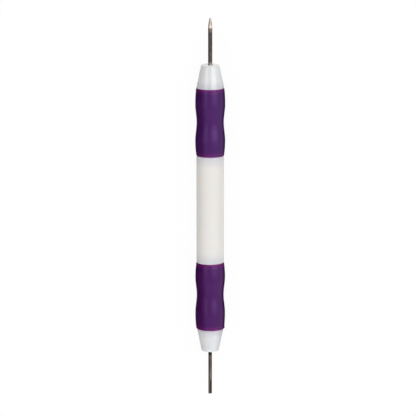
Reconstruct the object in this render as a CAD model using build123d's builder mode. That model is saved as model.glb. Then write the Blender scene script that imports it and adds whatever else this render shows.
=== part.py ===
from build123d import *
import os
from math import radians, tan

# A double-ended quilling tool, lying on a table, in millimetres.
# X runs along the tool, towards the needle's point. Z is up.
# The origin is under the middle of the whole length, where the grips touch the table.
#
# A plain tube, the barrel, joins two ends that are built alike. Each end is a moulded
# holder: a nose cone, a neck under the soft grip, and a spigot pressed into the barrel.
# A steel pin is moulded into each holder: a needle at one end, a slotted pin at the other.
# Each grip is stretched over its neck before the holder goes into the barrel, so it is
# held between the nose and the barrel.

# Lengths that show, from the barrel outwards
barrel_length = 42.5
grip_length = 26.75
nose_length = 9.0
needle_reach = 18.4
slotted_pin_reach = 17.6

# Barrel
barrel_diameter = 10.72
barrel_wall = 1.77
barrel_edge_chamfer = 0.15

# Holder necks. The step is the shoulder that stops the holder at the barrel's end.
neck_step = 0.5
neck_ring_count = 5
neck_ring_radius = 0.3
neck_ring_margin = 3.5

# Soft grips: two swells with a finger waist between them.
# The inner end meets the barrel and the outer end meets the nose.
grip_waist_wall = 1.21
grip_swell_rise = 0.55
grip_outer_end_drop = 0.34
grip_inner_end_drop = 0.42
outer_swell_to_end = 6.4
inner_swell_to_end = 5.9
grip_edge_radius = 0.5
grip_fit_clearance = 0.02

# Nose cones. Each starts a small step below the outer end of its grip.
needle_nose_step = 0.13
slotted_nose_step = 0.31
nose_taper = 11.5
nose_edge_radius = 0.4
mouth_flare = 0.15
mouth_depth = 0.15

# Holder spigots, hollow behind the pin
spigot_length = 8.0
spigot_clearance = 0.1
spigot_rib_count = 6
spigot_rib_radius = 0.35
spigot_rib_clearance = 0.01
spigot_chamfer = 0.5
spigot_wall = 1.7
web_behind_pin = 3.0

# Steel pins
needle_diameter = 1.6
needle_point_length = 4.2
needle_tip_radius = 0.25
slotted_pin_diameter = 1.4
slotted_pin_edge_radius = 0.25
slot_width = 0.36
slot_length = 5.6
slot_turn = -20

# Their tails, thicker than the shanks and moulded in. A tail's shoulder lies in the mouth
# of its nose. V grooves hold it against pulling and two flats against turning.
tail_length = 16.0
tail_step = 0.3
tail_groove_count = 3
tail_groove_depth = 0.25
tail_groove_pitch = 2.0
tail_flat_length = 4.0
tail_flat_depth = 0.3

# One overrun lets a cut pass through the surface that it opens
cut_overrun = 1.0

# Radii and places that follow from the sizes
barrel_radius = barrel_diameter / 2
bore_radius = barrel_radius - barrel_wall
neck_radius = bore_radius + neck_step
grip_bore_radius = neck_radius + grip_fit_clearance
grip_waist_radius = neck_radius + grip_waist_wall
grip_swell_radius = grip_waist_radius + grip_swell_rise
grip_outer_end_radius = grip_swell_radius - grip_outer_end_drop
grip_inner_end_radius = grip_swell_radius - grip_inner_end_drop
needle_nose_radius = grip_outer_end_radius - needle_nose_step
slotted_nose_radius = grip_outer_end_radius - slotted_nose_step
nose_face_at = grip_length + nose_length
tail_shoulder_at = nose_face_at - mouth_depth
tail_end_at = nose_face_at - tail_length
needle_tail_radius = needle_diameter / 2 + tail_step
slotted_tail_radius = slotted_pin_diameter / 2 + tail_step
axis_height = max(grip_swell_radius, barrel_radius)
barrel_middle = (slotted_pin_reach - needle_reach) / 2

NEEDLE_SIDE = 1
SLOTTED_SIDE = -1


def tool_axis(side):
    """The axis that everything is turned about, pointing inwards from one end."""
    return Axis((0, 0, axis_height), (-side, 0, 0))


def profile_plane(side):
    """The drawing plane of one end: X is the distance out from the barrel, Y the radius."""
    return Plane(
        origin=(barrel_middle + side * barrel_length / 2, 0, axis_height),
        x_dir=(side, 0, 0),
        z_dir=(0, -side, 0),
    )


def section_plane(side, distance_out, turn=0):
    """A plane square to the tool, this far out from the barrel and turned about its axis."""
    square = Plane(
        origin=(barrel_middle + side * (barrel_length / 2 + distance_out), 0, axis_height),
        x_dir=(0, -1, 0),
        z_dir=(side, 0, 0),
    )
    return square.rotated((0, 0, turn))


def neck_ring_places():
    """Evenly spaced rings along the neck, clear of both its ends."""
    ring_span = grip_length - 2 * neck_ring_margin
    ring_gaps = max(neck_ring_count - 1, 1)
    return [
        (neck_ring_margin + ring_span * n / ring_gaps, neck_radius)
        for n in range(neck_ring_count)
    ]


def build_barrel():
    """The plain middle of the tool, open at both ends for the spigots."""
    with BuildPart() as barrel:
        with BuildSketch(section_plane(SLOTTED_SIDE, 0)):
            Circle(barrel_radius)
            Circle(bore_radius, mode=Mode.SUBTRACT)
        extrude(amount=-barrel_length)
        rims = barrel.edges().filter_by(GeomType.CIRCLE)
        chamfer(rims, length=barrel_edge_chamfer)
    return barrel


def build_tail_cuts(side, tail_radius):
    """What is taken off the tail of a pin: V grooves and two flats."""
    first_groove_at = tail_end_at + tail_flat_length + tail_groove_pitch
    groove_places = [
        (first_groove_at + n * tail_groove_pitch, tail_radius)
        for n in range(tail_groove_count)
    ]
    with BuildPart() as tail_cuts:
        with BuildSketch(profile_plane(side)):
            with Locations(groove_places):
                RegularPolygon(tail_groove_depth, side_count=4)
        revolve(axis=tool_axis(side))
        with BuildSketch(section_plane(side, tail_end_at - cut_overrun)):
            with Locations((tail_radius, 0), (-tail_radius, 0)):
                Rectangle(2 * tail_flat_depth, 2 * tail_radius + cut_overrun)
        extrude(amount=tail_flat_length + cut_overrun)
    return tail_cuts.part


def build_needle():
    """A round pin with a thick tail. Its ogive point runs into a small ball tip."""
    radius = needle_diameter / 2
    tip_at = nose_face_at + needle_reach
    shoulder_at = tip_at - needle_point_length
    # The tip's ball lies inside the ogive's circle and touches it, which gives its radius
    ball_at = tip_at - needle_tip_radius
    ball_run = ball_at - shoulder_at
    ogive_radius = (ball_run**2 + radius**2 - needle_tip_radius**2) / (
        2 * (radius - needle_tip_radius)
    )
    ball_share = needle_tip_radius / (ogive_radius - needle_tip_radius)
    touch = (ball_at + ball_run * ball_share, (ogive_radius - radius) * ball_share)
    tail_cuts = build_tail_cuts(NEEDLE_SIDE, needle_tail_radius)
    with BuildPart() as needle:
        with BuildSketch(profile_plane(NEEDLE_SIDE)):
            with BuildLine():
                Polyline(
                    (tip_at, 0),
                    (tail_end_at, 0),
                    (tail_end_at, needle_tail_radius),
                    (tail_shoulder_at, needle_tail_radius),
                    (tail_shoulder_at, radius),
                    (shoulder_at, radius),
                )
                TangentArc((shoulder_at, radius), touch, tangent=(1, 0))
                TangentArc((tip_at, 0), touch, tangent=(0, 1))
            make_face()
        revolve(axis=tool_axis(NEEDLE_SIDE))
        add(tail_cuts, mode=Mode.SUBTRACT)
    return needle


def build_slotted_pin():
    """A round pin with a thick tail and an eased end, split for the paper strip."""
    radius = slotted_pin_diameter / 2
    tip_at = nose_face_at + slotted_pin_reach
    tail_cuts = build_tail_cuts(SLOTTED_SIDE, slotted_tail_radius)
    with BuildPart() as slotted_pin:
        with BuildSketch(section_plane(SLOTTED_SIDE, tail_end_at)):
            Circle(slotted_tail_radius)
        extrude(amount=tail_shoulder_at - tail_end_at)
        with BuildSketch(section_plane(SLOTTED_SIDE, tail_shoulder_at)):
            Circle(radius)
        extrude(amount=tip_at - tail_shoulder_at)
        rims = slotted_pin.edges().filter_by(GeomType.CIRCLE)
        fillet(rims.sort_by(Axis.X)[0], radius=slotted_pin_edge_radius)
        with BuildSketch(section_plane(SLOTTED_SIDE, tip_at - slot_length, slot_turn)):
            Rectangle(slot_width, slotted_pin_diameter + cut_overrun)
        extrude(amount=slot_length + cut_overrun, mode=Mode.SUBTRACT)
        add(tail_cuts, mode=Mode.SUBTRACT)
    return slotted_pin


def build_holder(side, nose_radius, pin, tail_radius):
    """A nose cone, a ringed neck and a ribbed spigot in one moulding, cast round its pin."""
    face_radius = nose_radius - nose_length * tan(radians(nose_taper))
    spigot_radius = bore_radius - spigot_clearance
    rib_middle = bore_radius - spigot_rib_clearance - spigot_rib_radius
    core_radius = spigot_radius - spigot_wall
    with BuildPart() as holder:
        with BuildSketch(profile_plane(side)):
            with BuildLine():
                Polyline(
                    (-spigot_length, 0),
                    (-spigot_length, spigot_radius),
                    (0, spigot_radius),
                    (0, neck_radius),
                    (grip_length, neck_radius),
                    (grip_length, nose_radius),
                    (nose_face_at, face_radius),
                    (nose_face_at, tail_radius + mouth_flare),
                    (tail_shoulder_at, tail_radius),
                    (tail_shoulder_at, 0),
                    close=True,
                )
            outline = make_face()
            corners = outline.vertices()
            face_corner = corners.sort_by_distance((nose_face_at, face_radius))[0]
            spigot_corner = corners.sort_by_distance((-spigot_length, spigot_radius))[0]
            fillet(face_corner, radius=nose_edge_radius)
            chamfer(spigot_corner, length=spigot_chamfer)
        revolve(axis=tool_axis(side))
        with BuildSketch(profile_plane(side)):
            with Locations(neck_ring_places()):
                Circle(neck_ring_radius)
        revolve(axis=tool_axis(side))
        with BuildSketch(section_plane(side, 0)):
            with PolarLocations(rib_middle, spigot_rib_count):
                Circle(spigot_rib_radius)
        extrude(amount=spigot_chamfer - spigot_length)
        with BuildSketch(section_plane(side, -spigot_length)):
            Circle(core_radius)
        extrude(amount=tail_end_at - web_behind_pin + spigot_length, mode=Mode.SUBTRACT)
        add(pin, mode=Mode.SUBTRACT)
    return holder


def build_grip(side):
    """A soft sleeve with two swells and a waist, and grooves that lie over the neck's rings."""
    waist_at = (inner_swell_to_end + grip_length - outer_swell_to_end) / 2
    inner_end = (0, grip_inner_end_radius)
    inner_swell = (inner_swell_to_end, grip_swell_radius)
    waist = (waist_at, grip_waist_radius)
    outer_swell = (grip_length - outer_swell_to_end, grip_swell_radius)
    outer_end = (grip_length, grip_outer_end_radius)
    with BuildPart() as grip:
        with BuildSketch(profile_plane(side)):
            with BuildLine():
                TangentArc(inner_swell, inner_end, tangent=(-1, 0))
                Spline(inner_swell, waist, tangents=((1, 0), (1, 0)))
                Spline(waist, outer_swell, tangents=((1, 0), (1, 0)))
                TangentArc(outer_swell, outer_end, tangent=(1, 0))
                Polyline(
                    outer_end,
                    (grip_length, grip_bore_radius),
                    (0, grip_bore_radius),
                    inner_end,
                )
            outline = make_face()
            corners = outline.vertices()
            rims = [corners.sort_by_distance(end)[0] for end in (inner_end, outer_end)]
            fillet(rims, radius=grip_edge_radius)
        revolve(axis=tool_axis(side))
        with BuildSketch(profile_plane(side)):
            with Locations(neck_ring_places()):
                Circle(neck_ring_radius + grip_fit_clearance)
        revolve(axis=tool_axis(side), mode=Mode.SUBTRACT)
    return grip


barrel = build_barrel()
needle = build_needle()
slotted_pin = build_slotted_pin()
needle_holder = build_holder(
    NEEDLE_SIDE, needle_nose_radius, needle.part, needle_tail_radius
)
slotted_holder = build_holder(
    SLOTTED_SIDE, slotted_nose_radius, slotted_pin.part, slotted_tail_radius
)
needle_grip = build_grip(NEEDLE_SIDE)
slotted_grip = build_grip(SLOTTED_SIDE)

barrel.part.label = "barrel"
needle.part.label = "needle"
slotted_pin.part.label = "slotted_pin"
needle_holder.part.label = "needle_holder"
slotted_holder.part.label = "slotted_holder"
needle_grip.part.label = "needle_grip"
slotted_grip.part.label = "slotted_grip"

os.makedirs("parts", exist_ok=True)
for piece in (
    barrel,
    needle,
    slotted_pin,
    needle_holder,
    slotted_holder,
    needle_grip,
    slotted_grip,
):
    export_step(piece.part, f"parts/{piece.part.label}.step")
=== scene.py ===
# %% [markdown]
# # Dressing a double-ended quilling tool
#
# A quilling tool rolls narrow strips of paper into coils. This one is as long as a pen. A white
# tube joins two ends, and each end has a soft purple grip, a white nose and a steel pin. One pin
# is a needle. The other is split, and holds the end of a strip while it is rolled.
#
# The sizes come from a CAD model, which is loaded first and never moved. It could be shown as it
# is, with better materials. But its round faces are cut into flat strips, and it has none of the
# marks of moulding, drawing and grinding. So each solid is made again here as a finer mesh, in
# the same place and to the same size, and stands for the solid that it hides.

# %% Load the CAD frame
import math

import bmesh
import bpy
from mathutils import Matrix, Vector, noise


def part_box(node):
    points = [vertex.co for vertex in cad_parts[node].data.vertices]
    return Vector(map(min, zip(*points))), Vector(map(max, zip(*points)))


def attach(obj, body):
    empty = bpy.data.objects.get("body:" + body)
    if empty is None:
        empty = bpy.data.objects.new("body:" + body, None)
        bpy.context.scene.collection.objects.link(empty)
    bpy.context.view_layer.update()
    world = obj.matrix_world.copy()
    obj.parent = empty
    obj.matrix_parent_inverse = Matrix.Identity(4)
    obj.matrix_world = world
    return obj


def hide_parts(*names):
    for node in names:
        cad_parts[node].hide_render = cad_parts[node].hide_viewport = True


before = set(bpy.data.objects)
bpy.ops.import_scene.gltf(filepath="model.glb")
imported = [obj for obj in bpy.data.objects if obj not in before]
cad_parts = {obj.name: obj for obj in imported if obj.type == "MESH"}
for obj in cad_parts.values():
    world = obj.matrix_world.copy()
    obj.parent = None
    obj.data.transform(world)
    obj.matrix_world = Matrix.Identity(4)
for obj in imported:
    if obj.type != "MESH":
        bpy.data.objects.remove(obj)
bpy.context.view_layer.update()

print("Nodes in the frame:", sorted(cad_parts))

# %% [markdown]
# ## Sizes
#
# The tool lies along X with the needle's point towards +X, and its two grips touch the table at
# z = 0. Everything on it is turned about one axis, so each place below is a distance out from
# the end of the barrel, on the needle's or on the slotted side, and a radius.
#
# The sizes could be typed in, but then they would go wrong when the CAD model changes. What a
# node's box can tell is read from it, and only the forms inside a box are named here. They are
# in millimetres, as such a tool is drawn, and the lathe below turns them into metres.

# %% Read the main sizes from the frame
MM = 0.001
NEEDLE_SIDE = 1
SLOTTED_SIDE = -1


def box_mm(node):
    """The lowest and highest corners of a CAD node, in millimetres."""
    return [[value / MM for value in corner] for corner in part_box(node)]


barrel_low, barrel_high = box_mm("barrel")
axis_height = (barrel_low[2] + barrel_high[2]) / 2
barrel_length = barrel_high[0] - barrel_low[0]
barrel_middle = (barrel_high[0] + barrel_low[0]) / 2


def span(node, side):
    """How far out from the barrel a node starts and ends, on one side of the tool."""
    ends = [(corner[0] - barrel_middle) * side - barrel_length / 2 for corner in box_mm(node)]
    return min(ends), max(ends)


def widest(node):
    """The largest radius of a node."""
    low, high = box_mm(node)
    return (high[1] - low[1]) / 2


barrel_radius = widest("barrel")
grip_length = span("needle_grip", NEEDLE_SIDE)[1]
grip_swell_radius = widest("needle_grip")
spigot_end, nose_face = span("needle_holder", NEEDLE_SIDE)
tail_end, needle_tip = span("needle", NEEDLE_SIDE)
slotted_tip = span("slotted_pin", SLOTTED_SIDE)[1]
print(f"barrel {barrel_length:.1f} x {2 * barrel_radius:.2f} mm, axis {axis_height:.2f} mm up")
print(f"out from the barrel: grip to {grip_length:.1f}, nose to {nose_face:.1f} mm,")
print(f"needle to {needle_tip:.1f} and slotted pin to {slotted_tip:.1f} mm")

# %% [markdown]
# ## A lathe for the pieces
#
# The real barrel is an extruded tube, the holders and grips are moulded round a core, and the
# pins are drawn wire. All of them are round, so one lathe can make them all.
#
# Blender's Screw modifier would turn an outline into such a piece. Here a function lays the
# rings of vertices itself. Each vertex then knows how far out it is and which way it faces, so
# a piece can leave the true round where the real one does: at a parting line, a flat, or a rim
# that stands off. The faces come out as even quads, which shade cleanly.
#
# Real edges are never sharp, and a small easing catches a line of light. `eased` rounds corners
# with arcs, which keeps the easing in the mesh and not in a Bevel modifier.

# %% Outlines with eased corners
EASING_STEPS = 6


def eased(corners, closed=False):
    """An outline of (out, radius, easing) corners, each rounded off by an arc of its easing."""
    outline = []
    for place, (out, radius, easing) in enumerate(corners):
        corner = Vector((out, radius))
        at_an_end = place in (0, len(corners) - 1) and not closed
        if easing == 0 or at_an_end:
            outline.append(corner)
            continue
        to_before = (Vector(corners[place - 1][:2]) - corner).normalized()
        to_after = (Vector(corners[(place + 1) % len(corners)][:2]) - corner).normalized()
        half_angle = to_before.angle(to_after) / 2
        run = easing / math.tan(half_angle)
        centre = corner + (to_before + to_after).normalized() * easing / math.sin(half_angle)
        spoke_in = corner + to_before * run - centre
        spoke_out = corner + to_after * run - centre
        sweep = math.pi - 2 * half_angle
        for step in range(EASING_STEPS + 1):
            share = step / EASING_STEPS
            part_in = spoke_in * math.sin((1 - share) * sweep)
            part_out = spoke_out * math.sin(share * sweep)
            outline.append(centre + (part_in + part_out) / math.sin(sweep))
    return outline


def arc(centre, radius, start, end, steps):
    """Points on an arc round a centre, from an angle to another. Angle 0 is away from the axis."""
    turns = [start + (end - start) * step / steps for step in range(steps + 1)]
    return [Vector(centre) + Vector((math.sin(turn), math.cos(turn))) * radius for turn in turns]


def finer(outline, longest_run):
    """The same outline with points added, so that no run is longer than this."""
    result = [outline[0]]
    for start, end in zip(outline, outline[1:]):
        pieces = max(1, math.ceil((end - start).length / longest_run))
        result += [start.lerp(end, piece / pieces) for piece in range(1, pieces + 1)]
    return result


print("a 90 degree corner is eased by an arc of", EASING_STEPS, "runs")

# %% Turn an outline into a mesh
SHARP_ANGLE = math.radians(38)
POLE_RADIUS = 1e-4


def add_object(name, data):
    """A new object in the scene."""
    thing = bpy.data.objects.new(name, data)
    bpy.context.scene.collection.objects.link(thing)
    return thing


def shade(mesh):
    """Shades a mesh smooth, but for its sharp edges."""
    mesh.shade_smooth()
    mesh.set_sharp_from_angle(angle=SHARP_ANGLE)


def put_in_scene(name, work):
    """A smooth-shaded object from a bmesh."""
    bmesh.ops.recalc_face_normals(work, faces=work.faces)
    mesh = bpy.data.meshes.new(name)
    work.to_mesh(mesh)
    work.free()
    shade(mesh)
    return add_object(name, mesh)


def turned(name, side, outline, segments, closed=False, shape=None):
    """Turns an outline round the tool's axis. shape(out, radius, angle) may change a radius.

    The angle is 0 at the top and grows towards +Y. An open outline starts and ends on the axis.
    """
    work = bmesh.new()
    rings = []
    for out, radius in outline:
        middle = Vector((barrel_middle + side * (barrel_length / 2 + out), 0, axis_height))
        ring = []
        for step in range(segments if radius >= POLE_RADIUS else 1):
            angle = math.tau * step / segments
            reach = shape(out, radius, angle) if shape else radius
            across = Vector((0, math.sin(angle), math.cos(angle))) * reach
            ring.append(work.verts.new((middle + across) * MM))
        rings.append(ring)
    following_rings = rings[1:] + rings[:1] if closed else rings[1:]
    for ring, following in zip(rings, following_rings):
        for step in range(segments):
            quad = ((ring, step), (ring, step + 1), (following, step + 1), (following, step))
            corners = [row[place % len(row)] for row, place in quad]
            work.faces.new(dict.fromkeys(corners))
    return put_in_scene(name, work)


def finish_piece(piece, node, material):
    """Gives a piece its material and its place on the CAD body, and hides the solid that it stands
    for.
    """
    piece.data.materials.append(material)
    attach(piece, "root")
    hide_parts(node)
    check = bmesh.new()
    check.from_mesh(piece.data)
    open_edges = sum(len(edge.link_faces) != 2 for edge in check.edges)
    check.free()
    size = [round(value / MM, 2) for value in piece.dimensions]
    print(f"{piece.name}: {len(piece.data.polygons)} faces, {size} mm, {open_edges} open edges")


print("the lathe is ready")

# %% [markdown]
# ## A few words for node trees
#
# A material is a tree of nodes. It could be drawn by hand in the Shader editor. In a script, a
# node takes four or five lines, and a material soon hides behind them. The words of this class
# place one node each, and take either a number or another node's output, so that a material
# below reads as what it does.

# %% Words that place one node each


class Wiring:
    """Places nodes in one tree. A value is a number, a vector, a colour or a node's output."""

    def __init__(self, tree):
        self.tree = tree

    def feed(self, socket, value):
        """Joins another node's output to this socket, or sets the socket's own value."""
        if isinstance(value, bpy.types.NodeSocket):
            self.tree.links.new(value, socket)
        else:
            socket.default_value = (*value, 1.0) if socket.type == "RGBA" else value

    def node(self, kind, inputs, **settings):
        """One node, set up and fed. Gives its outputs."""
        node = self.tree.nodes.new("ShaderNode" + kind)
        for name, setting in settings.items():
            setattr(node, name, setting)
        for name, value in inputs.items():
            self.feed(node.inputs[name], value)
        return node.outputs

    def math(self, operation, *values):
        """One step of arithmetic."""
        return self.node("Math", dict(enumerate(values)), operation=operation)["Value"]

    def shifted(self, base, by, where):
        """The base where the mask is 0, and more of it, by this much, where the mask is 1."""
        return self.math("MULTIPLY_ADD", where, by, base)

    def vector_math(self, operation, *vectors):
        """One step of arithmetic with vectors."""
        return self.node("VectorMath", dict(enumerate(vectors)), operation=operation)["Vector"]

    def faded(self, value, start, end, low=0.0, high=1.0):
        """Goes smoothly from low to high as the value goes from start to end, and stays there."""
        ends = {"From Min": start, "From Max": end, "To Min": low, "To Max": high}
        return self.node("MapRange", {"Value": value, **ends}, interpolation_type="SMOOTHSTEP")[0]

    def painted(self, under, over, where, strength=1.0, blend="MIX"):
        """A colour laid over another where the mask is 1. Sockets 6, 7 and 2 are the colours."""
        share = where if strength == 1.0 else self.math("MULTIPLY", where, strength)
        colours = {0: share, 6: under, 7: over}
        return self.node("Mix", colours, data_type="RGBA", blend_type=blend)[2]

    def cloud(self, vector, scale, detail=2.0, roughness=0.5):
        """Soft noise from 0 to 1."""
        look = {"Vector": vector, "Scale": scale, "Detail": detail, "Roughness": roughness}
        return self.node("TexNoise", look)["Fac"]

    def placed(self, group, **values):
        """Puts a node group in the tree, with its own values. Spaces in their names become _."""
        inputs = {name.replace("_", " "): value for name, value in values.items()}
        return self.node("Group", inputs, node_tree=group.tree)


class Group(Wiring):
    """A node group to fill. A socket is a vector where its value is None, or else a number."""

    def __init__(self, name, inputs, outputs):
        super().__init__(bpy.data.node_groups.new(name, "ShaderNodeTree"))
        add_socket = self.tree.interface.new_socket
        for in_out, sockets in (("INPUT", inputs), ("OUTPUT", outputs)):
            for socket_name, value in sockets.items():
                kind = "NodeSocketVector" if value is None else "NodeSocketFloat"
                socket = add_socket(socket_name, in_out=in_out, socket_type=kind)
                if value is not None:
                    socket.default_value = value
        self.given = self.tree.nodes.new("NodeGroupInput").outputs[: len(inputs)]
        self.results = self.tree.nodes.new("NodeGroupOutput").inputs

    def give(self, *values):
        """Joins what was made to the group's outputs, in their order."""
        for socket, value in zip(self.results, values):
            self.feed(socket, value)
        print("group", self.tree.name, "has", len(self.tree.nodes), "nodes")


MASK = {"Mask": 0.0}
print("the words for node trees are ready")

# %% [markdown]
# ## Marks that several finishes share
#
# Plastic, rubber and steel look different, but the same few things happen to all of them: the
# tone is never quite even, the skin has a fine grain, drawing and extruding leave streaks along
# the tool, and handling leaves hairlines and dust. Each of these is a node group, built once
# and placed in a material with that material's own values.
#
# Every group needs to know where on the tool a point is. Object coordinates give it in metres
# from the table under the tool's middle, so the first group moves the axis to zero and counts
# in millimetres. Nothing here depends on the camera, so the marks stay put in every view.

# %% Group: the place on the tool
tool_place = group = Group("tool_place", {}, {"Place": None, "Along": 0.0})
coordinates = group.node("TexCoord", {})["Object"]
from_axis = group.vector_math("SUBTRACT", coordinates, (0.0, 0.0, axis_height * MM))
in_mm = group.vector_math("MULTIPLY", from_axis, (1 / MM, 1 / MM, 1 / MM))
group.give(in_mm, group.node("SeparateXYZ", {"Vector": in_mm})["X"])

# %% Group: uneven tone
uneven_tone = group = Group("uneven_tone", {"Place": None, "Scale": 0.3, "Contrast": 1.0}, MASK)
place, scale, contrast = group.given
broad = group.cloud(place, scale, detail=3.0, roughness=0.55)
from_middle = group.math("SUBTRACT", broad, 0.5)
group.give(group.faded(group.shifted(0.5, by=contrast, where=from_middle), 0.0, 1.0))

# %% Group: fine grain
WAVE_SHARE_OF_SCALE = 0.09
fine_grain = group = Group(
    "fine_grain", {"Place": None, "Scale": 6.0, "Waviness": 0.3}, {"Height": 0.0}
)
place, scale, waviness = group.given
grains = group.cloud(place, scale, detail=4.0, roughness=0.65)
waves = group.cloud(place, group.math("MULTIPLY", scale, WAVE_SHARE_OF_SCALE), detail=1.0)
group.give(group.shifted(grains, by=waviness, where=waves))

# %% Group: streaks along the tool
STREAK_SQUEEZE = (0.035, 1.0, 1.0)
long_streaks = group = Group(
    "long_streaks", {"Place": None, "Scale": 3.0, "Low": 0.35, "High": 0.65}, MASK
)
place, scale, low, high = group.given
squeezed = group.vector_math("MULTIPLY", place, STREAK_SQUEEZE)
lines = group.cloud(squeezed, scale, detail=3.0, roughness=0.6)
group.give(group.faded(lines, low, high))

# %% Group: hairline scratches
HAIRLINE_SQUEEZE = (0.35, 1.0, 0.7)
HAIRLINE_BEND = (1.5, 1.5, 1.5)
PATCH_SCALE = 0.4
PATCH_START = 0.5
PATCH_FULL = 0.62
hairlines = group = Group("hairlines", {"Place": None, "Scale": 0.5, "Width": 0.02}, MASK)
place, scale, width = group.given
bends = group.node("TexNoise", {"Vector": place, "Scale": scale})["Color"]
squeezed = group.vector_math("MULTIPLY", place, HAIRLINE_SQUEEZE)
bent = group.vector_math("MULTIPLY_ADD", bends, HAIRLINE_BEND, squeezed)
cells = group.node("TexVoronoi", {"Vector": bent, "Scale": scale}, feature="DISTANCE_TO_EDGE")
near_edge = group.faded(cells["Distance"], width, 0.0)
some_places = group.faded(group.cloud(place, PATCH_SCALE), PATCH_START, PATCH_FULL)
group.give(group.math("MULTIPLY", near_edge, some_places))

# %% Group: dust
DUST_SHARE = 0.3
dust = group = Group("dust", {"Place": None, "Scale": 0.8, "Size": 0.12}, MASK)
place, scale, size = group.given
specks = group.node("TexVoronoi", {"Vector": place, "Scale": scale})
draw = group.node("SeparateColor", {"Color": specks["Color"]})["Red"]
chosen = group.math("LESS_THAN", draw, DUST_SHARE)
group.give(group.math("MULTIPLY", group.faded(specks["Distance"], size, 0.0), chosen))

# %% Group: a band along the tool
BAND_CLOUD_SCALE = 1.3
BAND = {"Along": 0.0, "Middle": 0.0, "Half Width": 1.0, "Softness": 1.0, "Unevenness": 0.0}
band = group = Group("band", {"Place": None, **BAND}, MASK)
place, along, middle, half_width, softness, unevenness = group.given
edge_cloud = group.math("SUBTRACT", group.cloud(place, BAND_CLOUD_SCALE), 0.5)
away = group.math("ABSOLUTE", group.math("SUBTRACT", along, middle))
away = group.shifted(away, by=unevenness, where=edge_cloud)
group.give(group.faded(away, group.math("ADD", half_width, softness), half_width))

# %% [markdown]
# ## Starting a material
#
# Every finish ends in one Principled shader. What is the same all over the piece, such as how
# strongly it shines, is set on the shader's own sockets. Only colours, roughness and height
# come from nodes. The height goes through a Bump node, whose distance is a real depth in metres,
# so a grain of a hundredth of a millimetre is written as that.

# %% A material with its place nodes ready


class Finish(Wiring):
    """A new material with a Principled shader, for one side of the tool or for both."""

    def __init__(self, name, shader_values, side=None):
        self.material = bpy.data.materials.new(name)
        self.material.use_nodes = True
        super().__init__(self.material.node_tree)
        self.shader = self.tree.nodes["Principled BSDF"].inputs
        for socket_name, value in shader_values.items():
            self.feed(self.shader[socket_name], value)
        self.place, self.along = self.placed(tool_place)
        self.side = side

    def mark(self, group, **values):
        """What a group puts out on this finish."""
        return self.placed(group, Place=self.place, **values)[0]

    def ring(self, out, half_width, softness, unevenness):
        """1 in a ring round the tool, this far out from the barrel, on the finish's side."""
        along, middle = self.along, barrel_length / 2 + out
        if self.side:
            middle = barrel_middle + self.side * middle
        else:  # both sides count from the middle
            along = self.math("ABSOLUTE", self.math("SUBTRACT", along, barrel_middle))
        sizes = {"Middle": middle, "Half_Width": half_width, "Softness": softness}
        return self.mark(band, Along=along, Unevenness=unevenness, **sizes)

    def tinted_on_slotted_side(self, colour, tint):
        """The colour, tinted on the slotted side of the tool."""
        on_slotted_side = self.math("LESS_THAN", self.along, barrel_middle)
        return self.painted(colour, tint, where=on_slotted_side, blend="MULTIPLY")

    def finish(self, colour, roughness, height, depth_mm):
        """Feeds the shader. A height of 1 is the depth, in millimetres."""
        bump = self.node("Bump", {"Distance": depth_mm * MM, "Height": height})
        self.feed(self.shader["Base Color"], colour)
        self.feed(self.shader["Roughness"], roughness)
        self.feed(self.shader["Normal"], bump["Normal"])
        print(self.material.name, "has", len(self.tree.nodes), "nodes")


print("materials start from the Principled shader")

# %% [markdown]
# ## Milky plastic for the barrel
#
# The tube is natural polypropylene or something like it: white, satin, and a little cloudy, so
# that light spreads under its skin. Its middle is a warm white. Towards the grips it is painted
# cooler and darker: partly the spigots that stand inside it there, and partly painted shade from
# the dark rubber close by.
#
# One white with a single roughness would look like paper. Here the warmth and the painted shade
# of the cool ends are mixed by the distance along the tool, extruding gives very faint streaks,
# and the hairlines only change the gloss, as they do on real plastic. Subsurface scattering with
# a short radius does the milkiness, and a little warm sheen keeps the flanks light. Mixing in a
# translucent shader would need light inside the tube.

# %% Material: barrel plastic
WHITE_PLASTIC = {
    "Diffuse Roughness": 1.0,
    "Subsurface Weight": 0.25,
    "Subsurface Scale": 1.0 * MM,
    "Sheen Roughness": 0.5,
}
SCRATCH_ROUGHNESS = 0.2
SHADED_COOL_END_LENGTH = 5.0
barrel_plastic = skin = Finish(
    "barrel_plastic",
    {
        **WHITE_PLASTIC,
        "IOR": 1.46,
        "Subsurface Radius": (1.0, 0.8, 0.6),
        "Sheen Weight": 0.3,
        "Sheen Tint": (1.0, 0.9, 0.83),
    },
)
half_length = barrel_length / 2
# The tube's ends get a cooler, darker white: partly the spigots inside, partly painted shade from
# the grips.
middle_clear_of_end_shade = skin.ring(
    -half_length, half_length - SHADED_COOL_END_LENGTH, softness=SHADED_COOL_END_LENGTH, unevenness=0.4
)
streaks = skin.mark(long_streaks, Scale=1.6)
tone = skin.mark(uneven_tone, Scale=0.22, Contrast=1.4)
scratches = skin.mark(hairlines, Scale=0.45, Width=0.02)
grain = skin.mark(fine_grain, Scale=5.0, Waviness=0.8)
warm_white = skin.painted((0.815, 0.803, 0.78), over=(0.835, 0.827, 0.81), where=tone)
warm_white = skin.painted(warm_white, over=(0.815, 0.805, 0.785), where=streaks)
satin = skin.shifted(0.36, by=0.06, where=tone)
extruded = skin.shifted(grain, by=0.5, where=streaks)
skin.finish(
    # the cooler, darker white at the ends is partly painted shade from the grips
    colour=skin.painted((0.69, 0.70, 0.735), over=warm_white, where=middle_clear_of_end_shade),
    roughness=skin.shifted(satin, by=SCRATCH_ROUGHNESS, where=scratches),
    height=skin.shifted(extruded, by=-0.8, where=scratches),
    depth_mm=0.006,
)
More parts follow.
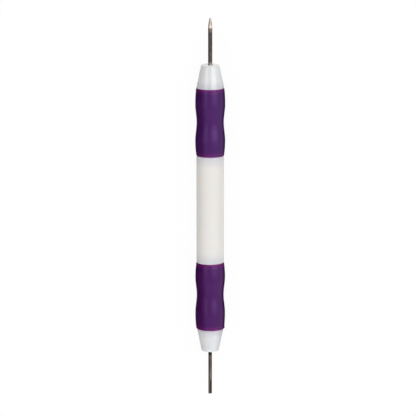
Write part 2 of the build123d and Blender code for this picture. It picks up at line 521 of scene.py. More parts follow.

# %% [markdown]
# ## Glossy plastic for the holders
#
# The holders are injection moulded in a cooler, harder white. Their noses have a smooth skin
# that shows the lamps as two soft streaks. Close to the rubber the white is painted greyer, as
# painted shade in the step up to the grip. The holder on the slotted side is a shade darker and
# cooler.
#
# A coat over a duller base would also make the gloss. Low roughness on the one shader is enough
# here, with a very shallow, wide waviness that makes the streaks waver. This white lets a
# little light in too, so it has the same scattering as the barrel.

# %% Material: holder plastic
STEP_SHADE_LENGTH = 3.4
holder_plastic = skin = Finish(
    "holder_plastic",
    {
        **WHITE_PLASTIC,
        "IOR": 1.5,
        "Subsurface Radius": (1.0, 0.9, 0.8),
        "Sheen Weight": 0.2,
        "Sheen Tint": (1.0, 0.97, 0.93),
    },
)
length_clear_of_step_shade = nose_face - grip_length - STEP_SHADE_LENGTH
# The greyer white next to the grip is painted shade in the step.
nose_clear_of_step_shade = skin.ring(nose_face, length_clear_of_step_shade, softness=STEP_SHADE_LENGTH, unevenness=0.5)
tone = skin.mark(uneven_tone, Scale=0.35, Contrast=1.5)
scratches = skin.mark(hairlines, Scale=0.8, Width=0.018)
grain = skin.mark(fine_grain, Scale=3.0, Waviness=3.0)
cool_white = skin.painted((0.76, 0.775, 0.79), over=(0.785, 0.795, 0.805), where=tone)
cool_white = skin.tinted_on_slotted_side(cool_white, tint=(0.955, 0.968, 0.987))
gloss = skin.shifted(0.2, by=0.05, where=tone)
skin.finish(
    colour=skin.painted((0.64, 0.635, 0.68), over=cool_white, where=nose_clear_of_step_shade),
    roughness=skin.shifted(gloss, by=SCRATCH_ROUGHNESS, where=scratches),
    height=skin.shifted(grain, by=-0.6, where=scratches),
    depth_mm=0.005,
)

# %% [markdown]
# ## Soft rubber for the grips
#
# The grips are a soft, deep purple rubber. It is matt, so the lamps only show as a broad, faint
# gleam on the swells. Towards its rims it is painted a little redder and brighter: partly the
# rubber's own tone, partly painted light on the rounded rims. The very lips are painted as a fine
# magenta line, a painted glow of light through the thin lips.
#
# A velvet or a sheen layer would light up its edges, and the real grips are darkest there. So
# this is a plain rough surface with a reflection that is tinted purple too, a fine matt grain,
# and two close purples that drift into each other. The sleeve on the slotted side is a touch
# redder. A few specks of dust cling to both.

# %% Material: soft grip
RIM_LENGTH = 2.1
RIM_FADE = 1.3
LIP_GLOW_LENGTH = 0.45
LIP_GLOW_FADE = 0.36
DUST_STRENGTH = 0.25
soft_grip = skin = Finish(
    "soft_grip",
    {"IOR": 1.5, "Specular IOR Level": 0.5, "Specular Tint": (0.66, 0.46, 1.0)},
)


def inside(end_length, fade, unevenness):
    """1 on both grips, but for this length at each of their ends."""
    return skin.ring(grip_length / 2, grip_length / 2 - end_length, fade, unevenness)


inside_lit_rims = inside(RIM_LENGTH, RIM_FADE, unevenness=0.3)
inside_lip_glow = inside(LIP_GLOW_LENGTH, LIP_GLOW_FADE, unevenness=0.1)
tone = skin.mark(uneven_tone, Scale=0.28, Contrast=1.6)
specks = skin.mark(dust, Scale=0.9, Size=0.09)
purple = skin.painted((0.038, 0.0026, 0.071), over=(0.045, 0.0038, 0.081), where=tone)
# Redder, brighter rims: partly the rubber's own tone, partly painted light on the rounding.
purple = skin.painted((0.078, 0.0045, 0.093), over=purple, where=inside_lit_rims)
# The fine magenta line at the lips is a painted glow of light through the thin rubber.
purple = skin.painted((0.24, 0.03, 0.215), over=purple, where=inside_lip_glow)
purple = skin.tinted_on_slotted_side(purple, tint=(1.03, 0.4, 0.91))
skin.finish(
    colour=skin.painted(purple, over=(0.30, 0.27, 0.31), where=specks, strength=DUST_STRENGTH),
    roughness=skin.shifted(0.33, by=0.06, where=tone),
    height=skin.mark(fine_grain, Scale=4.5, Waviness=0.9),
    depth_mm=0.02,
)

# %% [markdown]
# ## Steel for the needle
#
# The needle is drawn wire with a dark, uneven skin. Its point is ground, which takes the skin
# off, so it is much lighter and warm. At the shoulder it is painted brighter still, a painted
# highlight.
# Between the point and the skin, the heat of grinding leaves a brownish band. Where the needle
# leaves the nose it is painted paler again, a painted reflection of the white nose.
#
# Two materials on two groups of faces would leave a hard line between skin and point. One
# material with masks along the tool lets the border waver. Steel is a metal from end to end, so
# Metallic stays at 1 and only its colour and roughness change.

# %% Drawn steel, for both pins
STREAK_DEPTH = 0.8
STEEL_GRAIN_MM = 0.008


class DrawnSteel(Finish):
    """A finish of drawn steel. It takes the scale and the high end of its streaks, and the
    scale and the contrast of its blotches.
    """

    def __init__(self, name, side, streaks, blotches):
        super().__init__(name, {"Metallic": 1.0, "Specular Tint": (0.4, 0.37, 0.35)}, side)
        self.streaks = self.mark(long_streaks, Scale=streaks[0], Low=0.4, High=streaks[1])
        self.blotches = self.mark(uneven_tone, Scale=blotches[0], Contrast=blotches[1])
        grain = self.mark(fine_grain, Scale=9.0, Waviness=1.0)
        self.drawn = self.shifted(grain, by=STREAK_DEPTH, where=self.streaks)


print("streaks are", STREAK_DEPTH, "of", STEEL_GRAIN_MM, "mm deep")

# %% Material: needle steel
POINT_LENGTH = 4.2
POINT_START = needle_tip - POINT_LENGTH
HEATED_HALF_LENGTH = 0.5
SHOULDER_FROM_SKIN = 0.75
WAVERING_EDGE = 0.2
GROUND_ROUGHNESS = 0.5
needle_steel = skin = DrawnSteel(
    "needle_steel", NEEDLE_SIDE, streaks=(2.2, 0.62), blotches=(1.1, 3.5)
)
shoulder_at = POINT_START + SHOULDER_FROM_SKIN
heated_at = POINT_START - HEATED_HALF_LENGTH
ground = skin.ring(needle_tip, POINT_LENGTH - WAVERING_EDGE, softness=0.25, unevenness=0.5)
# A painted highlight on the shoulder of the point.
shoulder = skin.ring(shoulder_at, half_width=0.15, softness=0.45, unevenness=0.3)
heated = skin.ring(heated_at, HEATED_HALF_LENGTH, softness=0.8, unevenness=1.2)
# Paler steel next to the nose: a painted reflection of the white nose.
nose_reflection_ring = skin.ring(nose_face, half_width=0.25, softness=1.3, unevenness=0.3)
dark = skin.painted((0.030, 0.026, 0.024), over=(0.070, 0.062, 0.057), where=skin.blotches)
dark = skin.painted(dark, over=(0.12, 0.11, 0.105), where=skin.streaks, strength=0.5)
dark = skin.painted(dark, over=(0.20, 0.14, 0.125), where=heated, strength=0.7)
dark = skin.painted(dark, over=(0.28, 0.255, 0.23), where=nose_reflection_ring)
bright = skin.painted((0.34, 0.285, 0.245), over=(0.42, 0.355, 0.31), where=skin.blotches)
# the shoulder's lighter colour is a painted highlight
bright = skin.painted(bright, over=(0.60, 0.50, 0.43), where=shoulder)
skin_roughness = skin.shifted(0.48, by=-0.12, where=skin.blotches)
skin.finish(
    colour=skin.painted(dark, over=bright, where=ground),
    roughness=skin.faded(ground, 0.0, 1.0, skin_roughness, GROUND_ROUGHNESS),
    height=skin.drawn,
    depth_mm=STEEL_GRAIN_MM,
)

# %% [markdown]
# ## Steel for the slotted pin
#
# This pin is thinner and duller, with a brown tinge. Its first two millimetres outside the nose
# are painted almost black, a painted shadow of the nose. Then come a faint brown band and, from
# halfway on, a lighter grey: painted reflections along the pin. The walls of the slot are painted
# black, as painted shade in the slot.
#
# The same groups are placed again with other values. Only the mask for the slot is new: it is 1
# wherever a point is closer to the slot's middle plane than half the slot's width. The walls
# could also have a material of their own, but a mask needs no faces to be picked.

# %% Material: pin steel
SLOT_WIDTH = 0.36
SLOT_LENGTH = 5.6
SLOT_TURN = math.radians(-20)
SLOT_SIDE_FADE = 0.02
SLOT_END_FADE = 0.1
BROWN_FROM_NOSE = 2.8
GREY_REFLECTION_FROM_NOSE = 13.8
slot_start = slotted_tip - SLOT_LENGTH
pin_steel = skin = DrawnSteel(
    "pin_steel", SLOTTED_SIDE, streaks=(2.6, 0.64), blotches=(0.9, 2.5)
)
slot_plane = (0.0, math.cos(SLOT_TURN), -math.sin(SLOT_TURN))
off_plane = skin.node("VectorMath", {0: skin.place, 1: slot_plane}, operation="DOT_PRODUCT")
distance = skin.math("ABSOLUTE", off_plane["Value"])
within = skin.faded(distance, SLOT_WIDTH / 2 + SLOT_SIDE_FADE, SLOT_WIDTH / 2)
slot_start_along = barrel_middle - barrel_length / 2 - slot_start
beyond = skin.faded(skin.along, slot_start_along + SLOT_END_FADE, slot_start_along)
# Painted shade inside the slot.
slot_shade_painted = skin.math("MULTIPLY", within, beyond)
# A painted shadow of the nose on the first millimetres of the pin.
nose_shadow_painted = skin.ring(nose_face, half_width=1.3, softness=0.9, unevenness=0.6)
brown_at = nose_face + BROWN_FROM_NOSE
grey_reflection_at = nose_face + GREY_REFLECTION_FROM_NOSE
# A brown band and a lighter grey half: painted reflections along the pin.
brown_reflection_band = skin.ring(brown_at, half_width=0.3, softness=0.7, unevenness=0.5)
grey_reflection_band = skin.ring(grey_reflection_at, half_width=4.4, softness=3.4, unevenness=1.0)
dull = skin.painted((0.034, 0.026, 0.020), over=(0.060, 0.046, 0.037), where=skin.blotches)
for mask, strength, colour in (
    (grey_reflection_band, 0.85, (0.138, 0.115, 0.102)),
    (skin.streaks, 0.4, (0.14, 0.12, 0.105)),
    (brown_reflection_band, 0.5, (0.14, 0.10, 0.075)),
    (nose_shadow_painted, 1.0, (0.015, 0.018, 0.014)),
    (slot_shade_painted, 1.0, (0.012, 0.010, 0.009)),
):
    dull = skin.painted(dull, over=colour, where=mask, strength=strength)
skin.finish(
    colour=dull,
    roughness=skin.shifted(0.5, by=-0.1, where=skin.blotches),
    height=skin.drawn,
    depth_mm=STEEL_GRAIN_MM,
)

# %% [markdown]
# ## The barrel
#
# A plain tube, cut to length, with its edges taken off. It is hollow, and the two spigots are
# pressed into its ends. A cylinder with a Solidify modifier would do, but it would have neither
# the eased edges nor rows of faces along its length.

# %% Turn the barrel
BIG_SEGMENTS = 192
LONGEST_RUN = 1.5
BARREL_WALL = 1.77
BARREL_EASING = 0.15
BORE_RADIUS = barrel_radius - BARREL_WALL
barrel_corners = [
    (-barrel_length, BORE_RADIUS, BARREL_EASING),
    (-barrel_length, barrel_radius, BARREL_EASING),
    (0, barrel_radius, BARREL_EASING),
    (0, BORE_RADIUS, BARREL_EASING),
]
barrel_outline = finer(eased(barrel_corners, closed=True), LONGEST_RUN)
barrel = turned("barrel_tube", NEEDLE_SIDE, barrel_outline, BIG_SEGMENTS, closed=True)
finish_piece(barrel, "barrel", barrel_plastic.material)

# %% [markdown]
# ## The holders
#
# Each holder is one moulding: a hollow spigot with six crush ribs, a neck with five beads that
# keep the rubber from creeping, and the nose, out of whose mouth the pin comes. The mouth is a
# tiny funnel, and then the plastic closes round the pin. Only the nose shows, but the rest is
# what holds the tool together, so it is made too.
#
# Separate meshes for the nose, the neck and the spigot would need joining. One outline gives
# one closed skin. Two things on it aren't round, and the lathe's shape function adds them: the
# ribs, and the fine ridge along both sides, where the halves of the mould met.

# %% What isn't round on a holder
SPIGOT_RADIUS = BORE_RADIUS - 0.1
NECK_RADIUS = BORE_RADIUS + 0.5
CORE_RADIUS = SPIGOT_RADIUS - 1.7
RIB_COUNT = 6
RIB_RADIUS = 0.35
RIB_CLEARANCE = 0.01
RIB_MIDDLE = BORE_RADIUS - RIB_CLEARANCE - RIB_RADIUS
RIB_START = 0.5
NOSE_FACE_EASING = 0.45
PARTING_RIDGE = 0.03
PARTING_HALF_ANGLE = math.radians(2)


def beyond_ribs(angle):
    """How far out a spigot reaches at this angle, where a rib crosses it, or 0."""
    rib_spacing = math.tau / RIB_COUNT
    from_rib = (angle + rib_spacing / 2) % rib_spacing - rib_spacing / 2
    half_chord = RIB_RADIUS**2 - (RIB_MIDDLE * math.sin(from_rib)) ** 2
    return RIB_MIDDLE * math.cos(from_rib) + math.sqrt(half_chord) if half_chord > 0 else 0


def parting_ridge(angle):
    """The height of the mould's parting line, which runs along both sides of a holder."""
    from_side = abs(abs((angle + math.pi) % math.tau - math.pi) - math.pi / 2)
    return PARTING_RIDGE * max(0, 1 - from_side / PARTING_HALF_ANGLE)


def holder_shape(out, radius, angle):
    """Ribs on the spigot, and a parting line on the outside of the nose."""
    on_spigot = spigot_end + RIB_START <= out <= 0 and radius > CORE_RADIUS + RIB_RADIUS
    if on_spigot:
        return max(radius, beyond_ribs(angle))
    on_nose = grip_length < out < nose_face - NOSE_FACE_EASING and radius > NECK_RADIUS / 2
    return radius + parting_ridge(angle) if on_nose else radius


print(f"{RIB_COUNT} ribs reach {RIB_MIDDLE + RIB_RADIUS:.2f} mm, in a bore of {BORE_RADIUS:.2f} mm")

# %% Turn both holders
WEB_BEHIND_PIN = 3.0
CORE_EASING = 0.3
SPIGOT_MOUTH_EASING = 0.2
SPIGOT_LEAD_IN = 0.4
STEP_EASING = 0.1
NECK_BEADS = 5
NECK_BEAD_MARGIN = 3.5
NECK_BEAD_RADIUS = 0.3
NOSE_TAPER = math.radians(11.5)
MOUTH_DEPTH = 0.15
MOUTH_FLARE = 0.09
MOUTH_EASING = 0.04
MOUTH_CLEARANCE = 0.01
TAIL_STEP = 0.3
NEEDLE_RADIUS = 0.8
SLOTTED_PIN_RADIUS = 0.7


def five_beads(radius):
    """The five half-round beads of a neck, or the grooves of a grip, at this radius."""
    outline = []
    for number in range(NECK_BEADS):
        share = number / (NECK_BEADS - 1)
        middle = NECK_BEAD_MARGIN + (grip_length - 2 * NECK_BEAD_MARGIN) * share
        quarter = math.pi / 2
        outline += arc((middle, radius), NECK_BEAD_RADIUS, -quarter, quarter, EASING_STEPS)
    return outline


def turn_holder(name, side, nose_radius, pin_radius):
    """One holder, from the web behind the pin, round the outside, to the pin's own seat."""
    face_radius = nose_radius - (nose_face - grip_length) * math.tan(NOSE_TAPER)
    core_end = tail_end - WEB_BEHIND_PIN
    tail_radius = pin_radius + TAIL_STEP
    mouth_radius = pin_radius + MOUTH_CLEARANCE
    shoulder = nose_face - MOUTH_DEPTH + MOUTH_CLEARANCE
    spigot = [
        (core_end, 0, 0),
        (core_end, CORE_RADIUS, CORE_EASING),
        (spigot_end, CORE_RADIUS, SPIGOT_MOUTH_EASING),
        (spigot_end, SPIGOT_RADIUS, SPIGOT_LEAD_IN),
        (spigot_end + RIB_START, SPIGOT_RADIUS, 0),
        (0, SPIGOT_RADIUS, 0),
        (0, NECK_RADIUS, STEP_EASING),
        (NECK_BEAD_MARGIN - NECK_BEAD_RADIUS, NECK_RADIUS, 0),
    ]
    nose = [
        (grip_length - NECK_BEAD_MARGIN + NECK_BEAD_RADIUS, NECK_RADIUS, 0),
        (grip_length, NECK_RADIUS, 0),
        (grip_length, nose_radius, STEP_EASING),
        (nose_face, face_radius, NOSE_FACE_EASING),
        (nose_face, pin_radius + MOUTH_FLARE, MOUTH_EASING),
        (nose_face - MOUTH_FLARE, mouth_radius, MOUTH_EASING / 2),
        (shoulder, mouth_radius, 0),
        (shoulder, tail_radius, 0),
        (tail_end, tail_radius, 0),
        (tail_end, 0, 0),
    ]
    outline = eased(spigot)[:-1] + five_beads(NECK_RADIUS) + eased(nose)[1:]
    outline = finer(outline, LONGEST_RUN)
    return turned(name, side, outline, BIG_SEGMENTS, shape=holder_shape)


for end, side, pin_radius in (
    ("needle", NEEDLE_SIDE, NEEDLE_RADIUS),
    ("slotted", SLOTTED_SIDE, SLOTTED_PIN_RADIUS),
):
    node = end + "_holder"
    holder = turn_holder(end + "_nose_holder", side, widest(node), pin_radius)
    finish_piece(holder, node, holder_plastic.material)

# %% [markdown]
# ## The soft grips
#
# A grip is a sleeve of soft rubber with two swells and a waist for the fingers. It could be a
# cylinder shaped with a lattice, or a subdivided cage. Its outline is simple enough to write
# down: an arc from each end to its swell, and a smooth step from each swell to the waist.
#
# Rubber is never as true as hard plastic. The skin is let in by a few hundredths of a
# millimetre of slow noise, a shallow line runs round it just inside each rim, and on the
# slotted side the outer rim stands off a little at one place, where it was stretched.

# %% The outline of a grip
WAIST_RADIUS = NECK_RADIUS + 1.21
OUTER_END_DROP = 0.34
INNER_END_DROP = 0.42
OUTER_SWELL_TO_END = 6.4
INNER_SWELL_AT = 5.9
RIM_LINE_FROM_END = 1.15
RIM_LINE_DEPTH = 0.035
RIM_LINE_HALF_WIDTH = 0.22
OUTER_SWELL_AT = grip_length - OUTER_SWELL_TO_END
WAIST_AT = (INNER_SWELL_AT + OUTER_SWELL_AT) / 2


def arc_drop(run, whole_run, whole_drop):
    """How far an arc that leaves a swell level has dropped after this run."""
    arc_radius = (whole_run**2 + whole_drop**2) / (2 * whole_drop)
    return arc_radius - math.sqrt(arc_radius**2 - run**2)


def rim_line(out):
    """The depth of the shallow line inside each rim."""
    from_line = min(abs(out - RIM_LINE_FROM_END), abs(grip_length - out - RIM_LINE_FROM_END))
    return RIM_LINE_DEPTH * max(0, 1 - (from_line / RIM_LINE_HALF_WIDTH) ** 2)


def grip_radius(out):
    """The radius of a grip's skin at this distance out from the barrel."""
    if out < INNER_SWELL_AT:
        drop = arc_drop(INNER_SWELL_AT - out, INNER_SWELL_AT, INNER_END_DROP)
    elif out > OUTER_SWELL_AT:
        drop = arc_drop(out - OUTER_SWELL_AT, OUTER_SWELL_TO_END, OUTER_END_DROP)
    else:
        share = 1 - abs(out - WAIST_AT) / (OUTER_SWELL_AT - WAIST_AT)
        drop = (grip_swell_radius - WAIST_RADIUS) * share**2 * (3 - 2 * share)
    return grip_swell_radius - drop - rim_line(out)


print(f"waist {2 * grip_radius(WAIST_AT):.2f} mm, swells {2 * grip_radius(OUTER_SWELL_AT):.2f} mm")

# %% The whole section of a grip
GRIP_EASING = 0.5
GRIP_CLEARANCE = 0.02
GRIP_BORE = NECK_RADIUS + GRIP_CLEARANCE
SKIN_STEP = 0.5
RIM_STEP = 0.11


def rows(start, end, step):
    """Even places from the start to just before the end, about this far apart."""
    count = round((end - start) / step)
    return [start + (end - start) * row / count for row in range(count)]


def skin_places():
    """Distances out for the rows of a grip's skin, closer together near the rims."""
    rim_end = 2 * RIM_LINE_FROM_END
    inner_rim = rows(GRIP_EASING, rim_end, RIM_STEP)
    middle = rows(rim_end, grip_length - rim_end, SKIN_STEP) + [grip_length - rim_end]
    return inner_rim + middle + [grip_length - out for out in reversed(inner_rim)]


def rim(end, into):
    """The rounded rim at one end of a grip. into is 1 or -1, the way to the grip's middle."""
    past_easing = end + into * 2 * GRIP_EASING
    corners = [
        (end, GRIP_BORE, 0),
        (end, grip_radius(end), GRIP_EASING),
        (past_easing, grip_radius(past_easing), 0),
    ]
    return eased(corners)[:-1]


def grip_outline():
    """The closed outline of a grip: its skin, its two rims, and a bore with grooves."""
    inner_rim = rim(0, into=1)
    outer_rim = rim(grip_length, into=-1)[::-1]
    first = inner_rim[-1][0] + RIM_STEP / 2
    last = outer_rim[0][0] - RIM_STEP / 2
    skin = [Vector((out, grip_radius(out))) for out in skin_places() if first < out < last]
    return inner_rim + skin + outer_rim + five_beads(GRIP_BORE)[::-1]


print("a grip's outline has", len(grip_outline()), "points")

# %% Turn both grips
SKIN_UNEVENNESS = 0.03
SKIN_NOISE_SCALE = 0.25
FLARE = 0.24
FLARE_LENGTH = 2.3
FLARE_ANGLE = math.radians(-90)
FLARE_HALF_ANGLE = math.radians(62)


def flare(out, radius, angle):
    """How far the slotted grip's outer rim stands off, on the side of -Y."""
    run = max(0, out - (grip_length - FLARE_LENGTH)) / FLARE_LENGTH
    off_centre = abs((angle - FLARE_ANGLE + math.pi) % math.tau - math.pi)
    turn = max(0, 1 - (off_centre / FLARE_HALF_ANGLE) ** 2)
    height_share = (radius - GRIP_BORE) / (grip_radius(grip_length) - GRIP_BORE)
    return FLARE * run**2 * turn**2 * max(0, min(1, height_share))


def grip_shape(side):
    """The shape function of one grip. The bore stays round."""

    def shape(out, radius, angle):
        if radius < GRIP_BORE + NECK_BEAD_RADIUS + GRIP_CLEARANCE:
            return radius
        across = (math.sin(angle) * radius, math.cos(angle) * radius)
        spot = Vector((side * (out + barrel_length), *across)) * SKIN_NOISE_SCALE
        let_in = SKIN_UNEVENNESS * (0.5 + 0.5 * noise.noise(spot))
        stood_off = flare(out, radius, angle) if side == SLOTTED_SIDE else 0
        return radius - let_in + stood_off

    return shape


for node, side in (("needle_grip", NEEDLE_SIDE), ("slotted_grip", SLOTTED_SIDE)):
    outline = grip_outline()
    shape = grip_shape(side)
    sleeve = turned(node + "_sleeve", side, outline, BIG_SEGMENTS, closed=True, shape=shape)
    finish_piece(sleeve, node, soft_grip.material)

# %% [markdown]
# ## The needle
#
# Drawn wire with a thicker tail, which is moulded into the holder: V grooves stop it being
# pulled out, and two flats stop it turning. Its point is ground to an ogive, the shape of a
# pointed arch, that runs on into a very small ball. A cone would look too thin halfway.
#
# Grinding takes off the wire's dark skin as well as the steel, so the ground part starts with
# a tiny step down. That step is in the mesh and catches light at the shoulder, and the material
# adds a painted highlight there.

# %% The tail that both pins share
PIN_SEGMENTS = 96
PIN_RUN = 0.6
TAIL_EASING = 0.1
TAIL_GROOVES = 3
TAIL_GROOVE_DEPTH = 0.25
TAIL_GROOVE_PITCH = 2.0
TAIL_FLAT_DEPTH = 0.3
TAIL_FLAT_END = tail_end + 4.0


def tail_outline(pin_radius):
    """A pin's outline from the end of its tail to the start of its shank, at the mouth."""
    tail_radius = pin_radius + TAIL_STEP
    corners = [(tail_end, 0, 0), (tail_end, tail_radius, TAIL_EASING)]
    corners.append((TAIL_FLAT_END, tail_radius, 0))
    for number in range(1, TAIL_GROOVES + 1):
        groove = TAIL_FLAT_END + number * TAIL_GROOVE_PITCH
        for out, depth in ((-1, 0), (0, 1), (1, 0)):
            place = groove + out * TAIL_GROOVE_DEPTH
            corners.append((place, tail_radius - depth * TAIL_GROOVE_DEPTH, 0))
    shoulder = nose_face - MOUTH_DEPTH
    corners += [(shoulder, tail_radius, MOUTH_EASING), (shoulder, pin_radius, 0)]
    return eased(corners + [(nose_face, pin_radius, 0)])


def turn_pin(name, side, pin_radius, shank):
    """A pin: its tail, whose end has two flats, and then the outline of its shank."""
    flat_distance = pin_radius + TAIL_STEP - TAIL_FLAT_DEPTH

    def shape(out, radius, angle):
        across = abs(math.sin(angle)) * radius
        on_flat = out <= TAIL_FLAT_END and across > flat_distance
        return flat_distance / abs(math.sin(angle)) if on_flat else radius

    outline = finer(tail_outline(pin_radius) + shank, PIN_RUN)
    return turned(name, side, outline, PIN_SEGMENTS, shape=shape)


print("a tail is", round(nose_face - MOUTH_DEPTH - tail_end, 2), "mm long")

# %% Turn the needle
NEEDLE_BALL = 0.25
GROUND_STEP = 0.02
GROUND_STEP_RUN = 0.08
OGIVE_STEPS = 24
BALL_STEPS = 8


def ogive(radius, ball_radius, start, tip):
    """An ogive from its shoulder, tangent to a small ball whose end is the tip."""
    ball_at = tip - ball_radius
    run = ball_at - start
    arc_radius = (run**2 + radius**2 - ball_radius**2) / (2 * (radius - ball_radius))
    slope = math.asin(run / (arc_radius - ball_radius))
    side_of_arch = arc((start, radius - arc_radius), arc_radius, 0, slope, OGIVE_STEPS)
    ball = arc((ball_at, 0), ball_radius, slope, math.pi / 2, BALL_STEPS)
    return side_of_arch[1:] + ball[1:-1] + [Vector((tip, 0))]


ground_radius = NEEDLE_RADIUS - GROUND_STEP
shank = [
    Vector((POINT_START - GROUND_STEP_RUN, NEEDLE_RADIUS)),
    Vector((POINT_START, ground_radius)),
    *ogive(ground_radius, NEEDLE_BALL, POINT_START, needle_tip),
]
needle = turn_pin("needle_pin", NEEDLE_SIDE, NEEDLE_RADIUS, shank)
finish_piece(needle, "needle", needle_steel.material)

# %% [markdown]
# ## The slotted pin
#
# A thinner wire with an eased end, sawn down its middle for the end of a paper strip. The slot
# is a third of a millimetre wide and lies a little turned from upright.
#
# The two prongs could be built face by face. Here the whole pin is turned first, and a thin
# blade takes the slot out of it with a Boolean modifier, as the saw does. The modifier is
# applied at once, so that what is left is a plain mesh with crisp inner faces.

# %% Turn the slotted pin and saw its slot
PIN_END_EASING = 0.25
BLADE_OVERRUN = 1.0


def saw_blade(start, end):
    """A thin block in the plane of the slot, at these distances out on the slotted side."""
    work = bmesh.new()
    bmesh.ops.create_cube(work, size=1.0)
    middle = barrel_middle - (barrel_length / 2 + (start + end) / 2)
    height = 2 * SLOTTED_PIN_RADIUS + BLADE_OVERRUN
    size = Matrix.Diagonal((end - start, SLOT_WIDTH, height, 1.0))
    moved = Matrix.Translation((middle, 0, axis_height))
    work.transform(Matrix.Scale(MM, 4) @ moved @ Matrix.Rotation(-SLOT_TURN, 4, "X") @ size)
    return put_in_scene("saw_blade", work)


def cut_away(piece, cutter):
    """Takes the cutter out of the piece for good, in even faces, and deletes the cutter."""
    cut = piece.modifiers.new("slot", "BOOLEAN")
    cut.operation = "DIFFERENCE"
    cut.solver = "EXACT"
    cut.object = cutter
    shown = piece.evaluated_get(bpy.context.evaluated_depsgraph_get())
    finished = bpy.data.meshes.new_from_object(shown)
    piece.modifiers.remove(cut)
    work = bmesh.new()
    work.from_mesh(finished)
    many_sided = [face for face in work.faces if len(face.verts) > 4]
    bmesh.ops.triangulate(work, faces=many_sided, ngon_method="BEAUTY")
    work.to_mesh(finished)
    work.free()
    piece.data = finished
    shade(finished)
    bpy.data.objects.remove(cutter)


shank_corners = [
    (slot_start, SLOTTED_PIN_RADIUS, 0),
    (slotted_tip, SLOTTED_PIN_RADIUS, PIN_END_EASING),
    (slotted_tip, 0, 0),
]
shank = eased(shank_corners)
slotted_pin = turn_pin("slotted_pin_steel", SLOTTED_SIDE, SLOTTED_PIN_RADIUS, shank)
cut_away(slotted_pin, saw_blade(slot_start, slotted_tip + BLADE_OVERRUN))
finish_piece(slotted_pin, "slotted_pin", pin_steel.material)

# %% [markdown]
# ## Table and background
#
# The tool lies on a plain pale table in a white studio. A very bright table would do for the
# background, but it would throw that light up at the tool and bleach it. So what the camera and
# the reflections see is separate from what lights the tool: for those rays most of the table is
# a plain white of strength 1. The rest is still a lit surface, which keeps the tool's shadow.

# %% The table
TABLE_HALF_SIZE = 6.0
TABLE_TONE = 0.5
TABLE_SEEN_TONE = 1.0
WHITE_SHARE = 0.95


def stage_sheet(name, corners, material):
    """A flat sheet of the stage, from its four corners in metres."""
    mesh = bpy.data.meshes.new(name)
    mesh.from_pydata(corners, [], [(0, 1, 2, 3)])
    mesh.materials.append(material)
    sheet = add_object(name, mesh)
    return sheet


def seen_directly(wiring):
    """1 for rays of the camera, of reflections and through clear things, and 0 for the rest."""
    path = wiring.node("LightPath", {})
    seen = wiring.math("MAXIMUM", path["Is Camera Ray"], path["Is Glossy Ray"])
    return wiring.math("MAXIMUM", seen, path["Is Transmission Ray"])


table_white = bpy.data.materials.new("table_white")
table_white.use_nodes = True
wiring = Wiring(table_white.node_tree)
wiring.tree.nodes.remove(wiring.tree.nodes["Principled BSDF"])
seen = seen_directly(wiring)
table_colour = wiring.painted((TABLE_TONE,) * 3, over=(TABLE_SEEN_TONE,) * 3, where=seen)
lit = wiring.node("BsdfDiffuse", {"Color": table_colour})["BSDF"]
plain_white = wiring.node("Emission", {})["Emission"]
seen_share = wiring.math("MULTIPLY", seen, WHITE_SHARE)
blend = wiring.node("MixShader", {"Fac": seen_share, 1: lit, 2: plain_white})["Shader"]
wiring.feed(wiring.tree.nodes["Material Output"].inputs["Surface"], blend)
half = TABLE_HALF_SIZE
corners = [(-half, -half, 0), (half, -half, 0), (half, half, 0), (-half, half, 0)]
stage_sheet("table", corners, table_white)
print("the table is", 2 * TABLE_HALF_SIZE, "m wide")

# %% The white room round it
ROOM_LIGHT = 0.05
world = bpy.data.worlds.new("white_room")
world.use_nodes = True
bpy.context.scene.world = world
wiring = Wiring(world.node_tree)
background = wiring.tree.nodes["Background"].inputs
wiring.feed(background["Color"], (1.0, 1.0, 1.0))
wiring.feed(background["Strength"], wiring.math("MAXIMUM", seen_directly(wiring), ROOM_LIGHT))
print("the room lights the tool with", ROOM_LIGHT)

# %% [markdown]
# ## Lamps
#
# Two soft boxes hang over the table, one at each side, a little towards the needle's end. The
# one on the right, at -Y, is the main light: it puts the gleam on the right of the grips and
# the wider streak on the nose. The left one is narrower, weaker and a little blue. A third
# stands beyond the needle's end, and a fourth beyond the slotted end. They light the slopes
# that face them and keep the steel from going black. Two more stand low at the slotted end, one
# at each side, for the flanks of the barrel. The left one is the warmer, as that flank is.
#
# One big lamp overhead would be simpler, but the tool would look flat, with one wide streak all
# along it. Spot lamps would give hard little highlights, and a sky texture a horizon in the
# gloss. A lamp's brightness is given here as the tone that it would have in a mirror, where 1
# is white. Blender's watts follow from that and the lamp's area.

# %% Hang the soft boxes
LAMP_DISTANCE = 2.0


def stand(thing, place, rightwards, upwards, backwards):
    """Puts a lamp or the camera at a place. It looks the opposite way to backwards."""
    axes = Matrix((rightwards, upwards, backwards)).transposed()
    thing.matrix_world = Matrix.LocRotScale(place, axes.to_quaternion(), None)


def soft_box(name, turn, tilt, wide, long, tone, colour):
    """A lamp over the tool, turned about its axis towards +Y, and tilted towards the needle.

    Its place and its size are angles in degrees, as they are seen from the tool.
    """
    turn, tilt, wide, long = (math.radians(angle) for angle in (turn, tilt, wide, long))
    lamp = bpy.data.lights.new(name, "AREA")
    lamp.shape = "RECTANGLE"
    lamp.size = 2 * LAMP_DISTANCE * math.tan(long / 2)
    lamp.size_y = 2 * LAMP_DISTANCE * math.tan(wide / 2)
    lamp.energy = tone * math.pi * lamp.size * lamp.size_y
    lamp.color = colour
    level = math.cos(tilt)
    towards = Vector((math.sin(tilt), level * math.sin(turn), level * math.cos(turn)))
    along_tool = (Vector((1, 0, 0)) - towards * towards[0]).normalized()
    across = towards.cross(along_tool)
    stand(add_object(name, lamp), towards * LAMP_DISTANCE, along_tool, across, towards)
    print(f"{name}: {lamp.size:.2f} x {lamp.size_y:.2f} m, {lamp.energy:.1f} W")


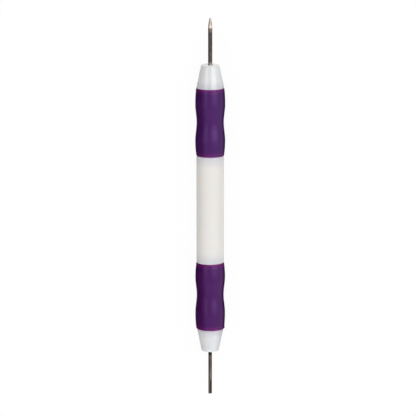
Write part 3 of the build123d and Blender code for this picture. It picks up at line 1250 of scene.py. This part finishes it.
for name, turn, tilt, wide, long, tone, colour in (
    ("main_light", -36, 11, 44, 22, 4.7, (1.0, 0.99, 0.98)),
    ("fill_light", 40, 11, 20, 36, 3.65, (0.96, 0.98, 1.0)),
    ("end_light", -30, 66, 60, 36, 2.35, (1.0, 1.0, 1.0)),
    ("low_light", 10, -60, 50, 36, 2.35, (0.96, 0.98, 1.0)),
    ("low_left_light", 65, -46, 40, 40, 2.0, (1.0, 0.84, 0.70)),
    ("low_right_light", -60, -52, 40, 36, 2.0, (1.0, 0.975, 0.94)),
):
    soft_box(name, turn, tilt, wide, long, tone, colour)

# %% [markdown]
# ## Dark cards for the reflections
#
# In a room that is white all round, even a matt rubber gets a grey veil, because it mirrors the
# white from every side. A photographer stands a black card beside the subject, just outside the
# picture, and its edges turn crisp and dark. These cards do the same. The left one leans away
# from the tool and keeps the whole left side clear. The right one lies almost flat beside the
# grips, because only their lowest edge is dark there. Only reflections see the cards: they
# throw no shadow, and no camera finds them, from whichever side it looks.

# %% Place the cards
CARD_HALF_LENGTH = 0.6
CARD_TONE = 0.02
card_black = bpy.data.materials.new("card_black")
card_black.use_nodes = True
shader = card_black.node_tree.nodes["Principled BSDF"]
shader.inputs["Base Color"].default_value = (CARD_TONE, CARD_TONE, CARD_TONE, 1.0)
shader.inputs["Specular IOR Level"].default_value = 0.0


def place_card(name, far, near):
    """A card along the tool. Its far and near edges are (across, up) in metres, across to +Y."""
    ends = ((-1, near), (1, near), (1, far), (-1, far))
    card = stage_sheet(name, [(x * CARD_HALF_LENGTH, *edge) for x, edge in ends], card_black)
    card.visible_camera = False
    card.visible_diffuse = False
    card.visible_transmission = False
    card.visible_shadow = False
    print(f"{name} reaches from {near} to {far} m")


place_card("left_card", far=(0.20, 0.24), near=(0.0085, 0.0005))
place_card("right_card", far=(-0.022, 0.001), near=(-0.0064, 0.0005))

# %% [markdown]
# ## The camera
#
# The photograph looks down on the tool from far away with a long lens, a little from the
# needle's end, which is at the top of the picture. Its distance and lens were found from the
# lengths and widths that the pieces have in it. The camera could look straight at the barrel
# and shift its lens, but then every other view would be shifted too. So it is moved sideways.

# %% Aim the camera
CAMERA_TILT = math.radians(12.2)
CAMERA_DISTANCE = 1.3
LENS_MM = 288.1
SENSOR_MM = 36.0
AIM_OFFSET_MM = (0.315, 0.85)

camera_data = bpy.data.cameras.new("camera")
camera_data.lens = LENS_MM
camera_data.sensor_width = SENSOR_MM
camera = add_object("camera", camera_data)
backwards = Vector((math.sin(CAMERA_TILT), 0, math.cos(CAMERA_TILT)))
upwards = Vector((math.cos(CAMERA_TILT), 0, -math.sin(CAMERA_TILT)))
aim = Vector((barrel_middle + AIM_OFFSET_MM[0], AIM_OFFSET_MM[1], axis_height)) * MM
place = aim + backwards * CAMERA_DISTANCE
stand(camera, place, upwards.cross(backwards), upwards, backwards)
bpy.context.scene.camera = camera
bpy.context.scene.view_settings.view_transform = "Standard"
print("camera at", [round(value, 3) for value in camera.location])
